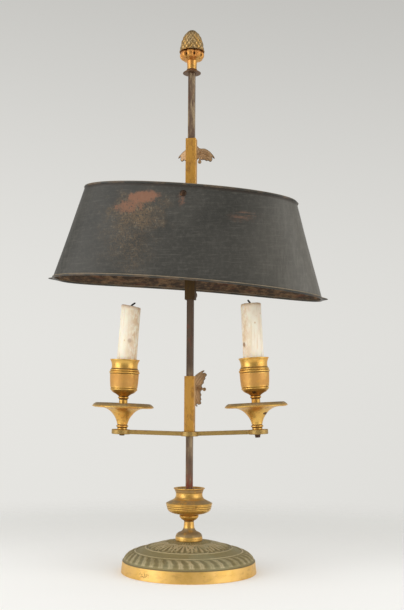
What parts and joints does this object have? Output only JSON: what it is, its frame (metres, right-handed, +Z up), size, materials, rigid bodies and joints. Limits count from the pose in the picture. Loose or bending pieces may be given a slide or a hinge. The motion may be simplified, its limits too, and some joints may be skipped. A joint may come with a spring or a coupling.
{
  "type": "bouillotte lamp",
  "caption": "Candle lamp with a square rod on a domed round foot, a sliding arm bar with candle cups and drip pans, and a sliding, tilting oval shade.",
  "frame": {"origin": "middle of the base's underside, on the rod's axis", "axes": "+Z up the rod, +X along the right-hand arm, and the thumb screws stand at the back on +Y"},
  "size_m": [0.3166, 0.15, 0.6004],
  "materials": {
    "gilt_brass": "gilt, worn satin",
    "patinated_bronze": "green-brown patina with a gilt band",
    "sleeve_brass": "dull orange brass",
    "brown_brass": "brown patina",
    "dark_iron": "brown oxide",
    "japanned_sheet": "worn satin black over iron",
    "wax": "waxy",
    "wick": "charred"
  },
  "bodies": {
    "root": {"base_casting": "patinated_bronze", "base_washer": "dark_iron", "base_nut": "dark_iron", "stem_foot": "gilt_brass", "stem_vase": "gilt_brass", "rod": "dark_iron", "finial_flange": "brown_brass", "finial_leaf_cup": "gilt_brass", "finial_pinecone": "gilt_brass"},
    "shade_carrier": {"shade_sleeve": "sleeve_brass", "shade_bridge": "dark_iron"},
    "shade": {"shade_shell": "japanned_sheet", "shade_top_wire": "japanned_sheet", "shade_bottom_wire": "japanned_sheet", "shade_rivets": "brown_brass"},
    "shade_wing_screw": {"shade_wing_screw": "brown_brass"},
    "shade_set_screw": {"shade_set_screw": "dark_iron"},
    "arms": {"arm_sleeve": "sleeve_brass", "arm_bar": "gilt_brass", "left_drip_pan": "gilt_brass", "right_drip_pan": "gilt_brass", "left_candle_cup": "gilt_brass", "right_candle_cup": "gilt_brass", "left_stud_nut": "brown_brass", "right_stud_nut": "brown_brass"},
    "arm_wing_screw": {"arm_wing_screw": "brown_brass"},
    "left_candle": {"left_candle": "wax", "left_wick": "wick"},
    "right_candle": {"right_candle": "wax", "right_wick": "wick"}
  },
  "joints": [
    {"name": "shade_height", "type": "slide", "parent": "root", "child": "shade_carrier", "axis": [0, 0, 1], "range_m": [-0.045, 0.068]},
    {"name": "arm_height", "type": "slide", "parent": "root", "child": "arms", "axis": [0, 0, 1], "range_m": [-0.052, 0.036]},
    {"name": "shade_tilt", "type": "hinge", "parent": "shade_carrier", "child": "shade", "pos_m": [0, 0, 0.4092], "axis": [0, 1, 0], "range_deg": [-14.4, 5.6]},
    {"name": "shade_wing_turn", "type": "hinge", "parent": "shade_carrier", "child": "shade_wing_screw", "pos_m": [0, 0.02, 0.4741], "axis": [0, 1, 0], "range_deg": [0, 270]},
    {"name": "shade_set_turn", "type": "hinge", "parent": "shade_carrier", "child": "shade_set_screw", "pos_m": [0, 0.015, 0.3082], "axis": [0, 1, 0], "range_deg": [0, 270]},
    {"name": "arm_wing_turn", "type": "hinge", "parent": "arms", "child": "arm_wing_screw", "pos_m": [0, 0.02, 0.20465], "axis": [0, 1, 0], "range_deg": [0, 270]},
    {"name": "left_candle_lift", "type": "slide", "parent": "arms", "child": "left_candle", "axis": [0.0766, 0, 0.9971], "range_m": [0, 0.035]},
    {"name": "right_candle_lift", "type": "slide", "parent": "arms", "child": "right_candle", "axis": [-0.0593, 0, 0.9982], "range_m": [0, 0.035]}
  ]
}
